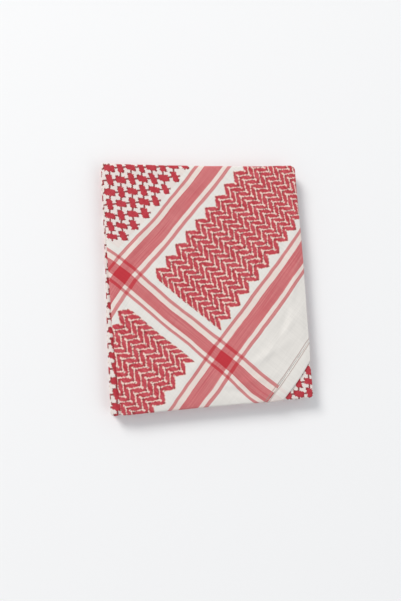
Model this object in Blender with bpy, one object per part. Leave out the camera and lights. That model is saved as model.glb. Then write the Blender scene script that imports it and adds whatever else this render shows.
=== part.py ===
"""A keffiyeh headscarf, folded flat into a rectangular packet that lies on a surface.

The scarf is one square of cloth, turned over and sewn down along its edges. Folding makes it a
stack of layers: fine fold noses down the left and right sides, coarse ones along the front and
back ends. What shows is built piece by piece: the face layer on top, the hem that crosses its front
right corner, the layer just under it, and the layer that the packet lies on. The layers hidden
between them are one solid, layered at its edges.

Metres, +Z up. The origin is under the middle of the packet, on the surface it lies on; +X is to the
right and +Y is away, as the face is seen from above.
"""
import math

import bmesh
import bpy
from mathutils import Vector

MM = 0.001

# The stack, from the surface up
EDGE_HEIGHT = 19.3 * MM        # the face's height close to the packet's edges
CROWN = 1.3 * MM               # how much higher the face is in the middle
WALL = 1.1 * MM                # a showing layer, with the layer that is folded flat against it
SEAM_GAP = 0.3 * MM            # between two pieces that touch
STEP = WALL + SEAM_GAP         # from one layer's skin to the next
BEND = 2.2 * MM                # the largest radius of a layer's turn over the stack's edge
HEM_WIDTH = 12.5 * MM
HEM_RISE = 0.35 * MM           # the hem is turned over, so it stands a little above the face

# The packet's outline: each side's first corner, anticlockwise as seen from above, and how far the
# middle of that side bows outwards, or inwards where it is below 0
OUTLINE = {
    # side:   (corner x,   corner y,    bow)
    "front": (-114.2 * MM, -141.9 * MM, 0.0),
    "right": (117.7 * MM, -135.3 * MM, 0.5 * MM),
    "back": (113.7 * MM, 138.9 * MM, -2.0 * MM),
    "left": (-113.8 * MM, 143.3 * MM, 0.2 * MM),
}
# The face layer's left fold lies on the layer below, further in towards the front
FACE_OUTLINE = OUTLINE | {
    "front": (-102.8 * MM, -141.5 * MM, 0.0),
    "left": (-113.2 * MM, 143.2 * MM, 2.1 * MM),
}
# The radius of each side's first corner; the face's two left corners are tighter
CORNER_RADII = {"front": 4.5 * MM, "right": 4.5 * MM, "back": 6.0 * MM, "left": 6.0 * MM}
FACE_LEFT_RADIUS = 2.6 * MM
CORNER_STEPS = 4
SIDE_STEPS = {"front": 14, "right": 18, "back": 14, "left": 18}

# How far each layer turns down over the stack's edge, or up for the back layer
TURNED = {
    # side:   (face,     under layer, back layer)
    "front": (5.6 * MM, 4.4 * MM, 6.1 * MM),
    "right": (2.4 * MM, 2.4 * MM, 2.4 * MM),
    "back": (6.0 * MM, 4.8 * MM, 5.6 * MM),
    "left": (WALL, 2.4 * MM, 2.5 * MM),
}
FACE, UNDER, BACK = range(3)   # the columns of TURNED

# How far the under layer and the back layer stand back from the outline. Past the hem and past
# the face's left fold the under layer shows, and comes out to the outline.
UNDER_SET_BACK = {"front": STEP, "right": STEP, "back": STEP, "left": 0.0}
PAST_HEM = 8.0 * MM            # where it starts to come out, from the hem's outer edge
PAST_FOLD = 4.2 * MM           # and from the end of the face's left fold
COMES_OUT = 5.0 * MM           # how far it takes
BACK_SET_BACK = 0.6 * MM

# The hidden layers' fold noses, from the lowest up: how far each stands back from the outline
NOSES = {
    # side:   (first, second, ...)
    "front": (0.4 * MM,),
    "right": (0.9 * MM, 2.0 * MM, 0.5 * MM, 1.6 * MM, 0.4 * MM, 1.8 * MM),
    "back": (1.1 * MM, 0.4 * MM),
    "left": (0.5 * MM, 1.7 * MM, 0.8 * MM, 2.3 * MM, 0.5 * MM, 1.3 * MM),
}
SIDE_NOSES = len(NOSES["left"])
NOSE_DEPTH = 1.1 * MM          # from a nose's front to the crease between two noses
NOSE_WANDER = 0.4 * MM         # each nose's front wavers by this much along its side
NOSE_RINGS = 5                 # rings of points on each side nose

# Where the cloth's own edge crosses the packet, and which way it faces
HEM_ANGLE = math.radians(-39.0)
HEM_DISTANCE = 147.6 * MM      # from the origin to the hem's outer edge
HEM_OUT = Vector((math.cos(HEM_ANGLE), math.sin(HEM_ANGLE), 0))

# Broad soft swells and hollows of the face
SWELLS = [
    # centre x, centre y, turn (deg), half length, half width, rise
    (-52 * MM, 84 * MM, 38, 80 * MM, 30 * MM, 0.5 * MM),
    (38 * MM, 60 * MM, 60, 90 * MM, 34 * MM, -0.4 * MM),
    (-60 * MM, -62 * MM, 100, 75 * MM, 30 * MM, -0.4 * MM),
    (66 * MM, -62 * MM, 35, 70 * MM, 28 * MM, 0.6 * MM),
    (2 * MM, -104 * MM, 8, 85 * MM, 26 * MM, 0.4 * MM),
]
# Rings of points across a layer, as shares of the way from its middle to its edge
ACROSS = (0.93, 0.80, 0.64, 0.46, 0.26)


def swell(x, y):
    """How far the face stands above its edge height at a place."""
    half_width, half_length = OUTLINE["right"][0], OUTLINE["back"][1]
    inside = max(0.0, 1 - (x / half_width) ** 2) * max(0.0, 1 - (y / half_length) ** 2)
    rise = CROWN * inside
    for centre_x, centre_y, turn, long, wide, height in SWELLS:
        c, s = math.cos(math.radians(turn)), math.sin(math.radians(turn))
        along = ((x - centre_x) * c + (y - centre_y) * s) / long
        over = ((y - centre_y) * c - (x - centre_x) * s) / wide
        rise += height * math.exp(-along ** 2 - over ** 2) * min(1.0, 3 * inside)
    return rise


def settle(point):
    """A place in the plain stack, moved to where the uneven packet has it."""
    x, y, z = point
    level = max(0.0, z) / EDGE_HEIGHT
    middle = math.sin(math.pi * min(1.0, level * 0.8))
    wander_x = 0.5 * MM * math.sin(y / (31 * MM) + 0.6) * middle
    wander_y = 0.4 * MM * math.sin(x / (26 * MM) + 1.9) * middle
    return Vector((x + wander_x, y + wander_y, z + swell(x, y) * level ** 2))


class Station:
    """A place on an outline, the way in from it, and the sides that it belongs to."""

    def __init__(self, place, inward, sides):
        self.place = place
        self.inward = inward
        self.sides = sides

    def mix(self, table):
        """The value that a table gives for this side, blended round a corner."""
        return sum(share * table[side] for side, share in self.sides.items())

    def at(self, inset, z):
        spot = self.place + self.inward * inset
        return Vector((spot.x, spot.y, z))


def outline_stations(outline, radii):
    """Stations round a four-sided outline with rounded corners and bowed sides.

    They lie closer together towards the corners.
    """
    names = list(outline)
    corners = [Vector(outline[name][:2]) for name in names]
    ways = [(corners[(i + 1) % 4] - corners[i]).normalized() for i in range(4)]
    inwards = [Vector((-way.y, way.x)) for way in ways]
    stations = []
    for i, name in enumerate(names):
        following = (i + 1) % 4
        radius = radii[names[following]]
        start = corners[i] + ways[i] * radii[name]
        end = corners[following] - ways[i] * radius
        bow = outline[name][2]
        for step in range(SIDE_STEPS[name] + 1):
            share = (1 - math.cos(math.pi * step / SIDE_STEPS[name])) / 2
            place = start.lerp(end, share) - inwards[i] * bow * math.sin(math.pi * share)
            stations.append(Station(place, inwards[i], {name: 1.0}))
        centre = end + inwards[i] * radius
        for step in range(1, CORNER_STEPS):
            share = step / CORNER_STEPS
            inward = inwards[i].slerp(inwards[following], share)
            sides = {name: 1 - share, names[following]: share}
            stations.append(Station(centre - inward * radius, inward, sides))
    return stations


def packet_stations():
    return outline_stations(OUTLINE, CORNER_RADII)


def face_stations():
    radii = CORNER_RADII | {"front": FACE_LEFT_RADIUS, "left": FACE_LEFT_RADIUS}
    return outline_stations(FACE_OUTLINE, radii)


def turned(station, layer):
    """How far a layer's edge is turned at a station."""
    return station.mix({side: row[layer] for side, row in TURNED.items()})


def face_turned(station):
    """As turned, but the face's left side and left corners lie on the layer below."""
    return WALL if station.sides.get("left", 0.0) > 0.0 else turned(station, FACE)


def under_inset(station):
    """How far the under layer stands back from the outline at a station."""
    shown = station.place.dot(HEM_OUT.xy) - HEM_DISTANCE - PAST_HEM
    if station.place.y < 0:
        shown = max(shown, FACE_OUTLINE["front"][0] - station.place.x - PAST_FOLD)
    return station.mix(UNDER_SET_BACK) * (1 - min(1.0, max(0.0, shown / COMES_OUT)))


def across(ring):
    """Rings that fill a layer, from near its edge inwards."""
    middle = sum(ring, Vector()) / len(ring)
    return [[middle.lerp(point, share) for point in ring] for share in ACROSS]


def skin(rings):
    """A closed solid through rings of points, with a flat or a poked cap at each end."""
    mesh = bmesh.new()
    rows = [[mesh.verts.new(point) for point in ring] for ring in rings]
    count = len(rings[0])
    for row, following in zip(rows, rows[1:]):
        for i in range(count):
            j = (i + 1) % count
            mesh.faces.new((row[i], row[j], following[j], following[i]))
    mesh.faces.new(rows[0])
    mesh.faces.new(rows[-1])
    bmesh.ops.remove_doubles(mesh, verts=mesh.verts, dist=0.02 * MM)
    raised = [face for face in mesh.faces if len(face.verts) > 4 and face.calc_center_median().z > 2 * WALL]
    bmesh.ops.poke(mesh, faces=raised)
    bmesh.ops.recalc_face_normals(mesh, faces=mesh.faces)
    return mesh


def top_layer(stations, top, insets, drops, wall=WALL):
    """A layer that lies on the stack, its edges turned down over what is below.

    top is the height of its upper skin; each station has an inset from the outline and a drop from
    the upper skin to the turned edge.
    """
    rows = list(zip(stations, insets, drops, [min(0.5 * drop, BEND) for drop in drops]))
    outer = []
    for angle in (0, 30, 60, 90):
        turn = math.radians(angle)
        outer.append([
            s.at(inset + bend * (1 - math.sin(turn)), top - bend * (1 - math.cos(turn)))
            for s, inset, drop, bend in rows
        ])
    lip = [s.at(inset + 0.25 * wall, top - drop) for s, inset, drop, bend in rows]
    inner_lip = [s.at(inset + wall, top - drop) for s, inset, drop, bend in rows]
    inner_bend = [s.at(inset + wall, top - max(wall, 0.6 * bend)) for s, inset, drop, bend in rows]
    underside = [s.at(inset + wall + 0.5 * bend, top - wall) for s, inset, drop, bend in rows]
    upper = list(reversed(across(outer[0])))
    return skin(upper + outer + [lip, inner_lip, inner_bend, underside] + across(underside))


def cut(mesh, place, way):
    """Cuts a solid with an upright plane, drops what lies on the way's side and closes the cut."""
    geometry = mesh.verts[:] + mesh.edges[:] + mesh.faces[:]
    bmesh.ops.bisect_plane(mesh, geom=geometry, plane_co=place, plane_no=way, clear_outer=True)
    rim = [edge for edge in mesh.edges if edge.is_boundary]
    closed = bmesh.ops.holes_fill(mesh, edges=rim, sides=0)
    bmesh.ops.triangulate(mesh, faces=closed["faces"])
    bmesh.ops.recalc_face_normals(mesh, faces=mesh.faces)


def cotton(name, colour):
    material = bpy.data.materials.new(name)
    material.use_nodes = True
    shader = material.node_tree.nodes["Principled BSDF"]
    shader.inputs["Base Color"].default_value = (*colour, 1)
    shader.inputs["Roughness"].default_value = 0.85
    shader.inputs["Metallic"].default_value = 0.0
    return material


def make(name, mesh, colour):
    """Settles a solid into the uneven packet and gives it an object and a material."""
    for vertex in mesh.verts:
        vertex.co = settle(vertex.co)
    data = bpy.data.meshes.new(name)
    mesh.to_mesh(data)
    mesh.free()
    data.materials.append(cotton(name + "_cotton", colour))
    data.shade_smooth()
    data.set_sharp_from_angle(angle=math.radians(50))
    bpy.context.collection.objects.link(bpy.data.objects.new(name, data))


def make_face_layer():
    """The layer on top, which ends at the hem."""
    stations = face_stations()
    drops = [face_turned(s) for s in stations]
    mesh = top_layer(stations, EDGE_HEIGHT, [0.0] * len(stations), drops)
    cut(mesh, HEM_OUT * (HEM_DISTANCE - HEM_WIDTH - SEAM_GAP), HEM_OUT)
    make("face_layer", mesh, (0.66, 0.30, 0.31))


def make_hem():
    """The cloth's edge, turned over and sewn down: a double strip across the face's corner."""
    stations = face_stations()
    insets = [-HEM_RISE] * len(stations)
    drops = [face_turned(s) + HEM_RISE for s in stations]
    mesh = top_layer(stations, EDGE_HEIGHT + HEM_RISE, insets, drops, WALL + HEM_RISE)
    cut(mesh, HEM_OUT * HEM_DISTANCE, HEM_OUT)
    cut(mesh, HEM_OUT * (HEM_DISTANCE - HEM_WIDTH), -HEM_OUT)
    make("hem", mesh, (0.84, 0.82, 0.79))


def make_under_layer():
    """The next layer down, which shows past the hem and along the face's left fold."""
    stations = packet_stations()
    insets = [under_inset(s) for s in stations]
    drops = [turned(s, UNDER) for s in stations]
    mesh = top_layer(stations, EDGE_HEIGHT - STEP, insets, drops)
    make("under_layer", mesh, (0.66, 0.32, 0.33))


def make_back_layer():
    """The layer that the packet lies on, turned up over the lowest folds."""
    stations = packet_stations()
    outer = BACK_SET_BACK
    bend = 1.0 * MM
    rises = [turned(s, BACK) for s in stations]
    rings = [
        [s.at(outer + bend, 0.0) for s in stations],
        [s.at(outer + 0.3 * bend, 0.3 * bend) for s in stations],
        [s.at(outer, bend) for s in stations],
        [s.at(outer, rise - 0.4 * MM) for s, rise in zip(stations, rises)],
        [s.at(outer + 0.3 * WALL, rise) for s, rise in zip(stations, rises)],
        [s.at(outer + WALL, rise) for s, rise in zip(stations, rises)],
        [s.at(outer + WALL, WALL) for s in stations],
    ]
    make("back_layer", skin(rings), (0.66, 0.32, 0.33))


def nose_front(station, side, number):
    """How far one nose's front stands back from the outline at a station."""
    run = station.place.y if side in ("left", "right") else station.place.x
    wave = math.sin(run / (29 * MM) + 2.1 * number + len(side))
    return NOSES[side][number] + NOSE_WANDER * wave


def nose_inset(station, side, share):
    """How far the hidden layers stand back at a share of the height of a side's noses."""
    count = len(NOSES[side])
    number = min(int(share * count + 1e-6), count - 1)
    within = share * count - number
    front = nose_front(station, side, number)
    if within < 1e-6 and number > 0:
        front = max(front, nose_front(station, side, number - 1))
    return front + NOSE_DEPTH * (1 - math.sqrt(max(0.0, 1 - (2 * within - 1) ** 2)))


def nose_shares():
    """Shares of the noses' height at which rings lie, closer together towards the creases."""
    shares = []
    for number in range(SIDE_NOSES):
        for ring in range(NOSE_RINGS):
            within = (1 - math.cos(math.pi * ring / NOSE_RINGS)) / 2
            shares.append((number + within) / SIDE_NOSES)
    return shares + [1.0]


def make_folded_layers():
    """The hidden layers, as one solid with the fold noses of its edges."""
    stations = packet_stations()
    floor = WALL + SEAM_GAP
    ceiling = EDGE_HEIGHT - 2 * STEP
    soft = 1.0 * MM
    low_inset = BACK_SET_BACK + STEP
    high_insets = [STEP + s.mix(UNDER_SET_BACK) for s in stations]
    lows = [turned(s, BACK) + SEAM_GAP for s in stations]
    face_edges = [EDGE_HEIGHT - turned(s, FACE) for s in stations]
    under_edges = [EDGE_HEIGHT - STEP - turned(s, UNDER) for s in stations]
    highs = [min(pair) - SEAM_GAP for pair in zip(face_edges, under_edges)]
    rings = [
        [s.at(low_inset + soft, floor) for s in stations],
        [s.at(low_inset, floor + 0.5 * soft) for s in stations],
        [s.at(low_inset, low) for s, low in zip(stations, lows)],
    ]
    for share in nose_shares():
        ring = []
        for s, low, high in zip(stations, lows, highs):
            inset = sum(part * nose_inset(s, side, share) for side, part in s.sides.items())
            ring.append(s.at(inset, low + 0.05 * MM + share * (high - low - 0.05 * MM)))
        rings.append(ring)
    rings += [
        [s.at(inset, high) for s, inset, high in zip(stations, high_insets, highs)],
        [s.at(inset, ceiling - soft) for s, inset in zip(stations, high_insets)],
        [s.at(inset + soft, ceiling) for s, inset in zip(stations, high_insets)],
    ]
    rings += across(rings[-1])
    make("folded_layers", skin(rings), (0.62, 0.30, 0.31))


for existing in list(bpy.data.objects):
    bpy.data.objects.remove(existing, do_unlink=True)
make_back_layer()
make_folded_layers()
make_under_layer()
make_face_layer()
make_hem()
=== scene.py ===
"""The looks of a folded keffiyeh headscarf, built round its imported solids.

The scarf is one woven square, folded into a packet. It is built here from the bottom up: the layer
that it lies on, the folded layers, the layer under the face, the face, its hem and the stitches.
"""
import math

import bmesh
import bpy
from mathutils import Matrix, Vector, noise


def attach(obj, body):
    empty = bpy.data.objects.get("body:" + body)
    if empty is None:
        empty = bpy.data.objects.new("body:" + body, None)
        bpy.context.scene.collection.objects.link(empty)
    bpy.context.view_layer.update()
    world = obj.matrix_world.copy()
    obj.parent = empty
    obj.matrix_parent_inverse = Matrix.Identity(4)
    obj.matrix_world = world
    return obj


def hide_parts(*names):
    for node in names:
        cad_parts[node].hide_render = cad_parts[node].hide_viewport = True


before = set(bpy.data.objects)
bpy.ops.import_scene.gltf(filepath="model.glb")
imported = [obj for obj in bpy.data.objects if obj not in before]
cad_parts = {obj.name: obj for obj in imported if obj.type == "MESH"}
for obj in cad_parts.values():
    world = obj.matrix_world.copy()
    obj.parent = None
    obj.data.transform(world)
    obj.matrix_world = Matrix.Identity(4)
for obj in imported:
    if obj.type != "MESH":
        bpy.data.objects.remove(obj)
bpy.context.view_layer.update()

# ----------------------------------------
# The back layer: the stretch of the scarf that the packet lies on. The scarf is white cotton,
# woven with red yarn into bands, a herringbone border and a field of linked motifs. This layer
# lies flat, with a few soft creases, and its edges are turned up over the lowest folds.
# ----------------------------------------
MM = 0.001
PLY = 0.6 * MM                 # the cloth itself
EDGE_HEIGHT = 19.3 * MM        # of the packet at its edges
CROWN = 1.3 * MM               # how much higher its middle is
CORNER_RADII = {"front": 4.5 * MM, "right": 4.5 * MM, "back": 6.0 * MM, "left": 6.0 * MM}
SEAM_GAP = 0.3 * MM
OUTLINE = {
    # side:   (corner x,   corner y,    bow)
    "front": (-114.2 * MM, -141.9 * MM, 0.0),
    "right": (117.7 * MM, -135.3 * MM, 0.5 * MM),
    "back": (113.7 * MM, 138.9 * MM, -2.0 * MM),
    "left": (-113.8 * MM, 143.3 * MM, 0.2 * MM),
}
SWELLS = [
    # centre x, centre y, turn (deg), half length, half width, rise
    (-52 * MM, 84 * MM, 38, 80 * MM, 30 * MM, 0.5 * MM),
    (38 * MM, 60 * MM, 60, 90 * MM, 34 * MM, -0.4 * MM),
    (-60 * MM, -62 * MM, 100, 75 * MM, 30 * MM, -0.4 * MM),
    (66 * MM, -62 * MM, 35, 70 * MM, 28 * MM, 0.6 * MM),
    (2 * MM, -104 * MM, 8, 85 * MM, 26 * MM, 0.4 * MM),
]
TOP_CREASES = [
    # centre x, centre y, turn (deg), half length, half width, rise
    (-78 * MM, 52 * MM, 62, 34 * MM, 4.5 * MM, 0.7 * MM),
    (-86 * MM, 46 * MM, 58, 26 * MM, 4 * MM, -0.5 * MM),
    (-30 * MM, 112 * MM, -20, 40 * MM, 5 * MM, -0.6 * MM),
    (-22 * MM, 121 * MM, -14, 30 * MM, 4 * MM, 0.5 * MM),
    (20 * MM, 96 * MM, -28, 30 * MM, 4.5 * MM, 0.6 * MM),
    (84 * MM, 118 * MM, 70, 26 * MM, 4 * MM, 0.6 * MM),
    (92 * MM, 40 * MM, 84, 40 * MM, 5 * MM, -0.7 * MM),
    (101 * MM, -8 * MM, 80, 34 * MM, 4 * MM, 0.9 * MM),
    (88 * MM, -48 * MM, 66, 30 * MM, 4 * MM, -0.8 * MM),
    (80 * MM, -66 * MM, 48, 34 * MM, 4 * MM, 0.8 * MM),
    (64 * MM, -84 * MM, 28, 32 * MM, 4.5 * MM, 0.9 * MM),
    (44 * MM, -112 * MM, 12, 28 * MM, 4 * MM, 0.8 * MM),
    (30 * MM, -124 * MM, -16, 28 * MM, 3.5 * MM, -0.7 * MM),
    (-20 * MM, -96 * MM, 48, 34 * MM, 5 * MM, 0.6 * MM),
    (-26 * MM, -106 * MM, 40, 24 * MM, 4 * MM, -0.4 * MM),
    (-70 * MM, -110 * MM, 98, 26 * MM, 4 * MM, 0.6 * MM),
    (-92 * MM, -28 * MM, 86, 38 * MM, 4.5 * MM, -0.6 * MM),
    (6 * MM, 8 * MM, 40, 44 * MM, 6 * MM, -0.5 * MM),
    (34 * MM, -30 * MM, 34, 30 * MM, 5 * MM, 0.4 * MM),
]
BACK_CREASES = [
    (-64 * MM, 70 * MM, 32, 42 * MM, 4 * MM, 0.8 * MM),
    (22 * MM, 104 * MM, -24, 30 * MM, 4 * MM, 0.6 * MM),
    (60 * MM, 18 * MM, 74, 48 * MM, 5 * MM, 0.9 * MM),
    (-18 * MM, -14 * MM, 48, 36 * MM, 4 * MM, 0.5 * MM),
    (-74 * MM, -70 * MM, 96, 34 * MM, 4 * MM, 0.7 * MM),
    (30 * MM, -88 * MM, 14, 44 * MM, 5 * MM, 0.8 * MM),
]
RUMPLES = [
    # from one to the next, rise
    (46 * MM, 0.45 * MM),
    (15 * MM, 0.14 * MM),
]
SHOULDER = 0.9 * MM            # how far the packet's top sinks at its edges
SHOULDER_REACH = 5.0 * MM
DRIFT = 0.5 * MM               # how far the layers' lines wander up and down its sides
DRIFT_LENGTH = 34 * MM
DRIFT_HEIGHT = 7 * MM
SIDE_WAVES = {
    # way:  (wave,   its length, start, ripple,    its length, seed)   in and out of the sides
    "x": (0.5 * MM, 31 * MM, 0.6, 0.35 * MM, 13 * MM, 2.1),
    "y": (0.4 * MM, 26 * MM, 1.9, 0.35 * MM, 13 * MM, 8.4),
}
GRID = (116, 140)              # steps across and along each layer
BACK_SET_BACK = 0.6 * MM
BACK_TURNED = {"front": 6.1 * MM, "right": 2.4 * MM, "back": 5.6 * MM, "left": 2.5 * MM}
BACK_BEND = 1.1 * MM

CLOTH_SIDE = 1400 * MM
YARN = 0.55 * MM               # from one yarn to the next
WOBBLE = 2.4 * MM              # how far the yarns wander from straight
WOBBLES = 38.0                 # how often they do in a metre of cloth
REPEAT = 18.3 * MM             # of the woven motifs, across the floats
FLOAT_ROW = REPEAT / 16        # the width of one red float
STROKE_PITCH = 8.45 * MM       # from one herringbone stroke to the next
STROKE_SHARE = 0.81            # how much of that is red, in the middle of a stroke
STROKES = 11                   # strokes across the border
JOINT_SHIFT = 0.14             # how far a stroke's end sits outwards where it meets the next
BORDER = (107 * MM, 199 * MM)  # the herringbone, measured from the cloth's edge
BORDER_CORNER = 225 * MM       # where the border's corner block ends
CORNER_ALONG = 7.0 * MM        # how far the strokes of that block are moved along the border
CORNER_ACROSS = 4.1 * MM       # and across it
STROKE_START = 1.5 * MM        # the strokes' place across the border
STROKE_ENDS = 0.6              # how much narrower a stroke is at its ends than in its middle
STROKE_RAGGED = 0.34           # how much a stroke's floats differ in length
JOINT_FROM = 0.86              # past this share of the way to its end, a stroke meets the next
TIP_SHADE = 0.8                 # how strongly shade is painted on its tip there
SPECKS_OUT = 0.03              # how far outside a stroke, past its floats' ends, its specks of painted shade lie
SPECKS_HALF = 0.06
SPECKS_ABOVE = 0.76            # one float in four has a speck
FIELD_START = 247 * MM         # the field's outermost motifs, from the cloth's edge
MOTIF_START = (243.5 * MM, -2.0 * MM)   # one motif's centre, from the hem and the other edge
MOTIF_HALF = (5.1 * MM, 3.1 * MM)       # half an oblong motif's least length and width
MOTIF_RAGGED = (1.6 * MM, 0.9 * MM)     # how much its floats add to them
MOTIF_LEAN = (0.34, 0.24)      # how far its short and its long sides lean
MOTIF_TIPS = 7.6 * MM          # past this across its corners, shade is painted on a motif's tips
LINK_HALF = 1.0 * MM
BANDS_BY_HEM = [
    # from,      to         (from the cloth's edge)
    (65.0 * MM, 69.0 * MM),
    (73.4 * MM, 90.0 * MM),
    (96.2 * MM, 100.0 * MM),
    (208.7 * MM, 212.6 * MM),
    (217.0 * MM, 233.3 * MM),
    (238.4 * MM, 242.0 * MM),
]
BANDS_BY_OTHER = [
    (65.0 * MM, 68.5 * MM),
    (72.5 * MM, 86.0 * MM),
    (91.5 * MM, 95.0 * MM),
    (208.7 * MM, 212.0 * MM),
    (216.3 * MM, 229.7 * MM),
    (235.6 * MM, 239.4 * MM),
]
NARROW_BAND = 8 * MM
NARROW_SHARE = 0.86            # how densely the narrow bands' red yarns lie, where 1 is a wide one's
EDGE_LINES = (12.4 * MM, 16.0 * MM)     # two darker yarns beside the hem's stitches
EDGE_LINE_WIDTH = 1.3 * MM


def srgb(red, green, blue):
    """A colour as it looks on screen, from 0 to 255, in the numbers that shaders use."""
    shares = [value / 255 for value in (red, green, blue)]
    return tuple(s / 12.92 if s <= 0.04045 else ((s + 0.055) / 1.055) ** 2.4 for s in shares) + (1.0,)


WEAVE_SHARES = {
    # how strongly each shows in the cloth's colour
    "tinge": 0.45,
    # painted shade in the grooves between the floats' rows
    "groove_shade": 0.15,
    # painted shade at the floats' ends and the strokes' tips
    "tip shade": 0.7,
    # also how strongly shade is painted on the motifs' tips
    "links": 0.95,
    "edge lines": 0.62,
    "mottle": 0.10,
    "slub": 0.06,
    "band plait": 0.2,
    "band slub": 0.1,
    "band streaks": 1.6,
    "float shade": 0.6,
    "float slub": 0.2,
}
LEAST_BRIGHT = 0.89            # the cloth's brightness without mottle and slubs
RELIEF = {"plait": -0.10, "float": 0.30, "mottle": 0.25}    # how far each stands up, in the bump
MOTTLE_SIZE = 45.0             # clouds of tone in a metre of cloth
STREAKS = (900.0, 18.0)        # streaks in a metre of a band, across it and along it
STREAK_MEAN = 0.45
GROOVE_SHADE_FROM = 0.40             # past this share of the way across a float, shade is painted in its groove
WHITE_YARN = srgb(226, 222, 216)
CREAM_YARN = srgb(232, 204, 192)
FIELD_YARN = srgb(227, 216, 210)
RED_YARN = srgb(190, 50, 60)
FLOAT_DARK = srgb(179, 41, 54)
FLOAT_PALE = srgb(205, 91, 99)
PINK_WEAVE = srgb(196, 96, 100)
PALE_WEAVE = srgb(212, 142, 140)
# the colour of the painted shade in the floats' grooves, past their ends and at the strokes' tips
PAINTED_SHADE_BROWN = srgb(98, 44, 42)
# also the colour of the shade painted on the motifs' tips
LINK_YARN_AND_TIP_SHADE = srgb(128, 42, 44)
LINE_YARN = srgb(166, 142, 134)


class Field:
    """A number that varies over the cloth. Arithmetic on it adds Math nodes to its material."""

    def __init__(self, tree, socket):
        self.tree = tree
        self.socket = socket

    def math(self, operation, *others):
        node = self.tree.nodes.new("ShaderNodeMath")
        node.operation = operation
        for place, value in enumerate((self, *others)):
            if isinstance(value, Field):
                self.tree.links.new(value.socket, node.inputs[place])
            else:
                node.inputs[place].default_value = value
        return Field(self.tree, node.outputs[0])

    def __add__(self, other):
        return self.math("ADD", other)

    def __sub__(self, other):
        return self.math("SUBTRACT", other)

    def __mul__(self, other):
        return self.math("MULTIPLY", other)

    def __truediv__(self, other):
        return self.math("DIVIDE", other)

    def __gt__(self, other):
        return self.math("GREATER_THAN", other)

    def __lt__(self, other):
        return self.math("LESS_THAN", other)

    def __invert__(self):
        """1 where this is 0 and 0 where it is 1."""
        return (self * -1.0) + 1.0

    def least(self, other):
        return self.math("MINIMUM", other)

    def most(self, other):
        return self.math("MAXIMUM", other)

    def floor(self):
        return self.math("FLOOR")

    def fraction(self):
        return self.math("FRACT")

    def size(self):
        return self.math("ABSOLUTE")

    def between(self, low, high):
        return (self > low) * (self < high)


def mixed(tree, share, first, second):
    """A colour between two colours or colour sockets."""
    node = tree.nodes.new("ShaderNodeMix")
    node.data_type = "RGBA"
    tree.links.new(share.socket, node.inputs["Factor"])
    for name, value in (("A", first), ("B", second)):
        socket = next(s for s in node.inputs if s.name == name and s.type == "RGBA")
        if isinstance(value, tuple):
            socket.default_value = value
        else:
            tree.links.new(value, socket)
    return next(s for s in node.outputs if s.type == "RGBA")


def speckle(tree, across, along, seed):
    """A random number from 0 to 1 for each cell of two whole-number fields."""
    place = tree.nodes.new("ShaderNodeCombineXYZ")
    tree.links.new(across.socket, place.inputs[0])
    tree.links.new(along.socket, place.inputs[1])
    place.inputs[2].default_value = seed
    node = tree.nodes.new("ShaderNodeTexWhiteNoise")
    node.noise_dimensions = "3D"
    tree.links.new(place.outputs[0], node.inputs["Vector"])
    return Field(tree, node.outputs["Value"])


def clouds(tree, place, scale_a, scale_b, detail):
    """Soft noise from 0 to 1, scaled differently along the cloth's two ways."""
    stretched = tree.nodes.new("ShaderNodeVectorMath")
    stretched.operation = "MULTIPLY"
    stretched.inputs[1].default_value = (scale_a, scale_b, 1.0)
    tree.links.new(place, stretched.inputs[0])
    node = tree.nodes.new("ShaderNodeTexNoise")
    node.inputs["Scale"].default_value = 1.0
    node.inputs["Detail"].default_value = detail
    tree.links.new(stretched.outputs[0], node.inputs["Vector"])
    return Field(tree, node.outputs["Fac"])


def wandering(tree, place):
    """The place on the cloth, moved a little, as hand-sized waves in the weave move its yarns."""
    waves = tree.nodes.new("ShaderNodeTexNoise")
    waves.inputs["Scale"].default_value = WOBBLES
    waves.inputs["Detail"].default_value = 3.0
    tree.links.new(place, waves.inputs["Vector"])
    centred = tree.nodes.new("ShaderNodeVectorMath")
    centred.operation = "SUBTRACT"
    centred.inputs[1].default_value = (0.5, 0.5, 0.5)
    tree.links.new(waves.outputs["Color"], centred.inputs[0])
    moved = tree.nodes.new("ShaderNodeVectorMath")
    moved.operation = "MULTIPLY_ADD"
    moved.inputs[1].default_value = (WOBBLE, WOBBLE, 0.0)
    tree.links.new(centred.outputs[0], moved.inputs[0])
    tree.links.new(place, moved.inputs[2])
    split = tree.nodes.new("ShaderNodeSeparateXYZ")
    tree.links.new(moved.outputs[0], split.inputs[0])
    return Field(tree, split.outputs[0]), Field(tree, split.outputs[1])


def in_bands(distance, bands):
    """1 on the wide bands at these distances from a cloth edge, and a little less on narrow ones."""
    total = None
    for low, high in bands:
        band = distance.between(low, high) * (NARROW_SHARE if high - low < NARROW_BAND else 1.0)
        total = band if total is None else total + band
    return total


def in_sets(distance, bands):
    """1 from the first to the last of each set of three bands, where the ground is tinged pink."""
    return in_bands(distance, [(bands[i][0], bands[i + 2][1]) for i in (0, 3)])


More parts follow.
